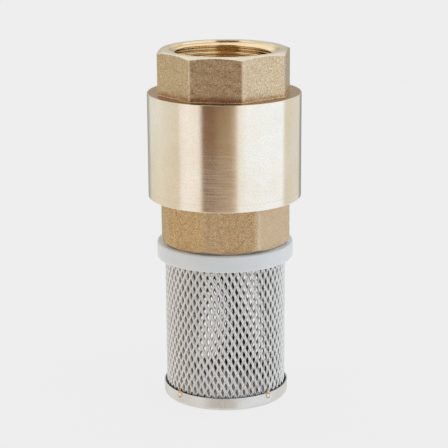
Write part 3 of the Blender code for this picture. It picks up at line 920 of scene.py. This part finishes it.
def guides():
    hub_bore, hub = 4.15 * MM, 5.6 * MM
    low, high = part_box("upper_guide")
    rim = tube(13.2 * MM, high.x, low.z + 1.2 * MM, SEAT + 21.45 * MM)
    spider("upper_spider", "upper_guide", rim, tube(hub_bore, hub, low.z, high.z),
           (SEAT + 19.0 * MM, SEAT + 21.45 * MM))
    low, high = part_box("lower_guide")
    rim = tube(12.0 * MM, high.x, SEAT - 10.3 * MM, high.z)
    spider("lower_spider", "lower_guide", rim, tube(hub_bore, hub, low.z, high.z - 0.65 * MM),
           (SEAT - 10.0 * MM, high.z - 0.6 * MM))
    for part in ("upper", "lower"):
        node = f"{part}_guide_bush"
        low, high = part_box(node)
        turned_piece(
            f"{part}_bush",
            node,
            [
                (3.05 * MM, low.z),
                (high.x, low.z),
                (high.x, low.z + 0.65 * MM),
                (4.0 * MM, low.z + 0.65 * MM),
                (4.0 * MM, high.z),
                (3.05 * MM, high.z),
            ],
            "acetal", "acetal", count=SMALL,
        )
    low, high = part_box("spring_seat")
    turned_piece("spring_washer", "spring_seat", tube(5.75 * MM, high.x, low.z, high.z), "steel", "stainless")


def clip():
    """Open retaining ring with a drilled lug at each end."""
    low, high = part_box("lower_guide_clip")
    outer, inner = 14.55 * MM, 12.5 * MM
    gap, steps = math.radians(16), 160
    points, faces = [], []
    for k in range(steps + 1):
        angle = PI / 2 + gap + (2 * PI - 2 * gap) * k / steps
        for r, z in ((inner, low.z), (outer, low.z), (outer, high.z), (inner, high.z)):
            points.append((r * math.cos(angle), r * math.sin(angle), z))
    for k in range(steps):
        for side in range(4):
            a, b = 4 * k + side, 4 * k + (side + 1) % 4
            faces.append((a, b, b + 4, a + 4))
    faces += [(0, 1, 2, 3), tuple(4 * steps + k for k in (3, 2, 1, 0))]
    open_ring = piece_from("retaining_ring", points, faces, [FINISHES["steel"]])
    lugs, holes = [], []
    for side in (-1, 1):
        angle = PI / 2 + side * (gap + math.radians(8))
        sizes = (lugs, 1.7 * MM, 11.9 * MM, 0), (holes, 0.75 * MM, 11.7 * MM, MM)
        for made, radius, distance, past in sizes:
            outline = [(0, low.z - past), (radius, low.z - past), (radius, high.z + past), (0, high.z + past)]
            disc = skin("lug", lathe(outline, 0, 48), [FINISHES["steel"]])
            aside = distance * math.cos(angle), distance * math.sin(angle), 0
            disc.data.transform(Matrix.Translation(aside))
            made.append(disc)
    joined(open_ring, lugs)
    joined(open_ring, holes, "DIFFERENCE", edge=0.06 * MM)
    return housing_piece(open_ring, "stainless", "lower_guide_clip")


def o_ring():
    low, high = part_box("body_o_ring")
    section = (high.z - low.z) / 2
    centre = (high.x - section, (high.z + low.z) / 2)
    outline = [(centre[0] + section * math.cos(PI * k / 8), centre[1] + section * math.sin(PI * k / 8))
               for k in range(16)]
    piece = skin("o_ring", lathe(outline, 0, ROUND), [FINISHES["nitrile"]])
    return housing_piece(piece, "nitrile", "body_o_ring")


def spring():
    """Round-wire spring with closed ends."""
    low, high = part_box("closing_spring")
    wire = 0.8 * MM
    radius = (high.x - low.x) / 2 - wire / 2
    dead, live = 0.9, 3.4
    turns_all = 2 * dead + live
    start, end = low.z + wire / 2, high.z - wire / 2
    dead_pitch = wire * 1.08
    rise = end - start - 2 * dead * dead_pitch
    steps, sides = round(turns_all * 56), 16
    rows = []
    for k in range(steps + 1):
        turn = turns_all * k / steps
        moved = min(max(turn - dead, 0), live)
        z = start + (turn - moved) * dead_pitch + rise * moved / live
        angle = 2 * PI * turn
        across = Vector((math.cos(angle), math.sin(angle), 0))
        blunt = min(1, (k + 0.6) / 3, (steps - k + 0.6) / 3)  # rounded wire ends
        row = []
        for a in (2 * PI * s / sides for s in range(sides)):
            up = Vector((0, 0, z + wire / 2 * blunt * math.sin(a)))
            row.append(tuple(across * (radius + wire / 2 * blunt * math.cos(a)) + up))
        rows.append(row)
    points = [point for row in rows for point in row]
    faces = []
    for k in range(steps):
        for s in range(sides):
            j = (s + 1) % sides
            faces.append((k * sides + s, k * sides + j, (k + 1) * sides + j, (k + 1) * sides + s))
    faces += [tuple(range(sides)), tuple(steps * sides + s for s in reversed(range(sides)))]
    piece = piece_from("coil_spring", points, faces, [FINISHES["steel"]], sharp=60)
    housing_piece(piece, "stainless", "closing_spring")
    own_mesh(piece)
    return piece


def poppet():
    """Stem, disc, seal, retainer, lock washer and nut, all on the sliding body."""
    low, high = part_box("poppet_stem")
    stem, collar = 3.0 * MM, high.x
    tip = 0.6 * MM
    shoulder = SEAT + 5.7 * MM
    turned_piece(
        "stem",
        "poppet_stem",
        [
            (0, low.z),
            (stem - tip, low.z),
            (stem, low.z + tip),
            (stem, shoulder),
            (collar, shoulder),
            (collar, shoulder + 2.5 * MM),
            (stem, shoulder + 2.5 * MM),
            (stem, high.z - tip),
            (stem - tip, high.z),
            (0, high.z),
        ],
        "steel", "stainless", "poppet", count=SMALL,
    )
    hole = stem + 0.15 * MM
    seal_low, seal_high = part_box("seat_seal")
    disc_low, disc_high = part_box("poppet_disc")
    face = SEAT + 5.4 * MM
    turned_piece(
        "disc",
        "poppet_disc",
        [
            (hole, seal_high.z + 0.15 * MM),
            (seal_high.x + 0.15 * MM, seal_high.z + 0.15 * MM),
            (seal_high.x + 0.15 * MM, disc_low.z),
            (disc_high.x, disc_low.z),
            (disc_high.x, face - 1.6 * MM),
            (disc_high.x - 2.5 * MM, face - 0.2 * MM),
            (9.1 * MM, disc_high.z),
            (8.5 * MM, face),
            (hole, face),
        ],
        "turned_inside", "brass", "poppet",
    )
    turned_piece("seal", "seat_seal", tube(hole, seal_high.x, seal_low.z, seal_high.z), "nitrile", "nitrile",
                 "poppet")
    low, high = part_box("seal_retainer")
    turned_piece("retainer", "seal_retainer", tube(hole, high.x, low.z, high.z), "turned_inside", "brass",
                 "poppet", edge=0.3 * MM)
    low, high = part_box("stem_lock_washer")
    washer = skin("lock_washer", lathe(rounded(tube(hole, high.x, low.z, high.z), 0.12 * MM), 0, SMALL),
                  [FINISHES["steel"]])
    slit = bar("slit", MM, high.x + MM, 0.7 * MM, low.z - MM, high.z + MM, math.radians(-60),
               FINISHES["steel"])
    fitted(joined(washer, [slit], "DIFFERENCE"), "poppet", "stainless", "stem_lock_washer")
    nut(hole)


def nut(hole):
    """Hexagon nut, its corners chamfered by a cone at both ends."""
    low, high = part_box("stem_nut")
    corner = high.x
    flats = corner * math.cos(PI / 6)
    count = 192
    off = (turns(count) + PI / 2 - PI / 2 + PI / 6) % (PI / 3) - PI / 6
    side = np.minimum(flats / np.cos(PI / 6 - np.abs(off)), corner * 0.992)
    slope = math.tan(math.radians(30))
    drop = np.maximum(side - flats * 0.97, 0) * slope
    bands = lathe([(hole, low.z + 0.2 * MM), (hole + 0.2 * MM, low.z)], 0, SMALL)
    bands += [(ring(flats * 0.97, low.z, count), 0), (ring(side, low.z + drop, count), 0),
              (ring(side, high.z - drop, count), 0), (ring(flats * 0.97, high.z, count), 0)]
    bands += lathe([(hole + 0.2 * MM, high.z), (hole, high.z - 0.2 * MM)], 0, SMALL)
    piece = skin("hexagon_nut", bands, [FINISHES["turned_inside"]], 25)
    return fitted(piece, "poppet", "brass", "stem_nut")


# ---------------------------------------------------------------- studio

def camera():
    lens = bpy.data.cameras.new("camera")
    lens.lens = 125.57
    lens.sensor_width = 36
    lens.clip_start = 0.01
    obj = bpy.data.objects.new("camera", lens)
    bpy.context.scene.collection.objects.link(obj)
    tilt, roll = math.radians(15.1), -0.0057
    distance, aim = 0.4958, 0.0556
    place = Vector((-0.0003, -distance * math.cos(tilt), aim + distance * math.sin(tilt)))
    turn = Matrix.Rotation(PI / 2 - tilt, 4, "X") @ Matrix.Rotation(roll, 4, "Z")
    obj.matrix_world = Matrix.Translation(place) @ turn
    bpy.context.scene.camera = obj


def floor():
    size = 6.0
    points = [(-size, -size, 0), (size, -size, 0), (size, size, 0), (-size, size, 0)]
    mesh = bpy.data.meshes.new("floor")
    mesh.from_pydata(points, [], [(0, 1, 2, 3)])
    obj = bpy.data.objects.new("floor", mesh)
    bpy.context.scene.collection.objects.link(obj)
    paint = bpy.data.materials.new("floor_paint")
    paint.use_nodes = True
    shader = paint.node_tree.nodes["Principled BSDF"]
    shader.inputs["Base Color"].default_value = (0.06, 0.06, 0.06, 1)
    shader.inputs["Roughness"].default_value = 1.0
    shader.inputs["Specular IOR Level"].default_value = 0.0
    shader.inputs["Emission Color"].default_value = (1, 1, 1, 1)
    shader.inputs["Emission Strength"].default_value = 0.80
    mesh.materials.append(paint)
    obj.visible_glossy = False  # the metal reflects the studio's panels, which reach below the table's edge


# Studio panels as the metal sees them: turn from the front towards +X in degrees, the light there, and the
# factors by which their lower and upper ends differ.
SAME = (1.0, 1.0, 1.0)
WARM, DIM, DARK, GLOW = (0.93, 0.85, 0.71), (0.88, 0.80, 0.68), (0.30, 0.18, 0.12), (1.25, 1.2, 1.15)
PANELS = [
    (-180, (0.40, 0.41, 0.38), SAME, GLOW),
    (-158, (0.38, 0.40, 0.36), SAME, GLOW),
    (-150, (0.58, 0.60, 0.55), SAME, SAME),
    (-142, (0.80, 0.83, 0.79), WARM, SAME),
    (-112, (0.88, 0.89, 0.86), WARM, SAME),
    (-73, (0.79, 0.76, 0.66), WARM, SAME),
    (-67, (0.98, 0.96, 0.92), SAME, SAME),
    (-56, (1.03, 1.03, 1.03), SAME, SAME),
    (-38, (0.98, 0.94, 0.90), SAME, SAME),
    (-31, (0.26, 0.155, 0.085), DIM, DARK),
    (-18, (0.26, 0.155, 0.085), DIM, DARK),
    (-8, (0.35, 0.245, 0.145), DIM, DARK),
    (8, (0.44, 0.325, 0.195), DIM, DARK),
    (15, (0.59, 0.52, 0.39), DIM, DARK),
    (21, (0.97, 0.98, 0.94), SAME, SAME),
    (34, (1.03, 1.13, 1.25), SAME, SAME),
    (95, (1.03, 1.15, 1.30), SAME, SAME),
    (102, (0.78, 0.75, 0.67), SAME, SAME),
    (126, (0.80, 0.79, 0.75), SAME, SAME),
    (146, (0.75, 0.76, 0.70), SAME, SAME),
    (152, (0.46, 0.47, 0.42), SAME, GLOW),
    (158, (0.30, 0.31, 0.27), SAME, GLOW),
    (180, (0.40, 0.41, 0.38), SAME, GLOW),
]
HIGH_EDGE = 0.0, 0.12  # sines of the angles above the horizon between which the upper ends begin
LOW_EDGE = -0.205, -0.245  # sines of the angles below the horizon between which the lower ends begin
SKY = (1.0, 1.0, 1.0)
SKY_EDGE = 0.68, 0.90
TABLE = (0.94, 0.93, 0.91)  # the white table, seen by what faces down
TABLE_EDGE = -0.275, -0.310  # the same, where panels end and the table begins


def studio():
    world = bpy.data.worlds.new("studio")
    world.use_nodes = True
    tree = world.node_tree
    tree.nodes.clear()
    new, link = tree.nodes.new, tree.links.new
    split = new("ShaderNodeSeparateXYZ")
    link(new("ShaderNodeTexCoord").outputs["Generated"], split.inputs[0])

    def maths(operation, first, second):
        node = new("ShaderNodeMath")
        node.operation = operation
        for socket, value in zip(node.inputs, (first, second)):
            if isinstance(value, (int, float)):
                socket.default_value = value
            else:
                link(value, socket)
        return node.outputs[0]

    front = maths("MULTIPLY", split.outputs["Y"], -1.0)
    turn = maths("ARCTAN2", split.outputs["X"], front)
    share = maths("MULTIPLY_ADD", turn, 1 / (2 * PI))
    share.node.inputs[2].default_value = 0.5

    def around(lights):
        """The lights as a colour ramp round the horizon."""
        node = new("ShaderNodeValToRGB")
        link(share, node.inputs["Fac"])
        stops = node.color_ramp.elements
        while len(stops) < len(PANELS):
            stops.new(0.5)
        for stop, panel in zip(stops, PANELS):
            stop.position = panel[0] / 360 + 0.5
        for stop, light in zip(stops, lights):
            stop.color = (*light, 1)
        return node.outputs["Color"]

    panels = around([light for _, light, _, _ in PANELS])
    lower_ends = around([[a * b for a, b in zip(light, factor)] for _, light, factor, _ in PANELS])
    upper_ends = around([[a * b for a, b in zip(light, factor)] for _, light, _, factor in PANELS])

    def eased(source, edge, full=1.0):
        """0 to full as the source passes from one end of edge to the other."""
        node = new("ShaderNodeMapRange")
        node.interpolation_type = "SMOOTHSTEP"
        node.inputs["From Min"].default_value, node.inputs["From Max"].default_value = edge
        node.inputs["To Max"].default_value = full
        link(source, node.inputs["Value"])
        return node.outputs["Result"]

    # The front panels reach higher than the back ones.
    leaning = maths("MULTIPLY_ADD", split.outputs["Y"], 0.5)
    link(split.outputs["Z"], leaning.node.inputs[2])

    def blend(share, first, second):
        node = new("ShaderNodeMix")
        node.data_type = "RGBA"
        link(share, node.inputs["Factor"])
        link(first, node.inputs[6])
        if isinstance(second, tuple):
            node.inputs[7].default_value = (*second, 1)
        else:
            link(second, node.inputs[7])
        return node.outputs[2]

    high = blend(eased(split.outputs["Z"], HIGH_EDGE), panels, upper_ends)
    low = blend(eased(split.outputs["Z"], LOW_EDGE), high, lower_ends)
    low = blend(eased(split.outputs["Z"], TABLE_EDGE, 0.9), low, TABLE)
    mix = blend(eased(leaning, SKY_EDGE), low, SKY)
    lit, seen = new("ShaderNodeBackground"), new("ShaderNodeBackground")
    link(mix, lit.inputs["Color"])
    seen.inputs["Color"].default_value = (0.855, 0.855, 0.855, 1)
    choice = new("ShaderNodeMixShader")
    link(new("ShaderNodeLightPath").outputs["Is Camera Ray"], choice.inputs["Fac"])
    link(lit.outputs[0], choice.inputs[1])
    link(seen.outputs[0], choice.inputs[2])
    link(choice.outputs[0], new("ShaderNodeOutputWorld").inputs["Surface"])
    bpy.context.scene.world = world
    bpy.context.scene.view_settings.view_transform = "Standard"
    bpy.context.scene.view_settings.look = "None"


camera()
floor()
studio()

FINISHES = {
    "turned": turned_brass(),
    "turned_inside": turned_brass("brass_machined", (0.84, 0.68, 0.42), (0.76, 0.58, 0.32), 0.25, 0.004 * MM),
    "rim": turned_brass("brass_rim", (0.86, 0.78, 0.62), (0.76, 0.68, 0.52), 0.3, 0.004 * MM),
    "forged": forged_brass("brass_forged", (0.62, 0.44, 0.245), (0.36, 0.22, 0.11), (0.88, 0.71, 0.47),
                           foot=LEDGE),
    # The lower octagon's blasted skin: colours a little darker and more saturated as painted shade under the
    # barrel, and rougher.
    "forged_shaded": forged_brass("brass_forged_shaded", (0.62, 0.43, 0.22), (0.38, 0.23, 0.10),
                               (0.88, 0.67, 0.40), 0.58),
    "ledge": forged_brass("brass_ledge", (0.44, 0.27, 0.14), (0.34, 0.20, 0.10), (0.54, 0.36, 0.20), 0.3,
                          relief=0.01 * MM, face_lit=False),
    "cut": threaded_brass(),
    "mesh": expanded_steel(),
    "cap": steel("stainless_pressed", (0.75, 0.74, 0.71), (0.68, 0.665, 0.64), 0.34, (1, 1, 0.15)),
    # Near-black painted shade for the cap's inner wall, where the gap under the tube lies in shade.
    "cap_inside": steel("stainless_inside_shade", (0.12, 0.11, 0.11), (0.20, 0.19, 0.18), 0.5),
    "steel": steel("stainless_bar", (0.70, 0.69, 0.66), (0.60, 0.58, 0.55), 0.26),
    "weld": weld_steel(),
    "nylon": nylon(),
    "nitrile": plain_polymer("nitrile", (0.02, 0.02, 0.02), (0.035, 0.035, 0.035), 0.6),
    "acetal": plain_polymer("acetal", (0.80, 0.79, 0.74), (0.74, 0.72, 0.66), 0.4),
}

valve_body()
inlet_end()
strainer_ring()
lattice()
strainer_cap()
for weld in range(4):
    cap_weld(weld)
guides()
clip()
o_ring()
spring()
poppet()
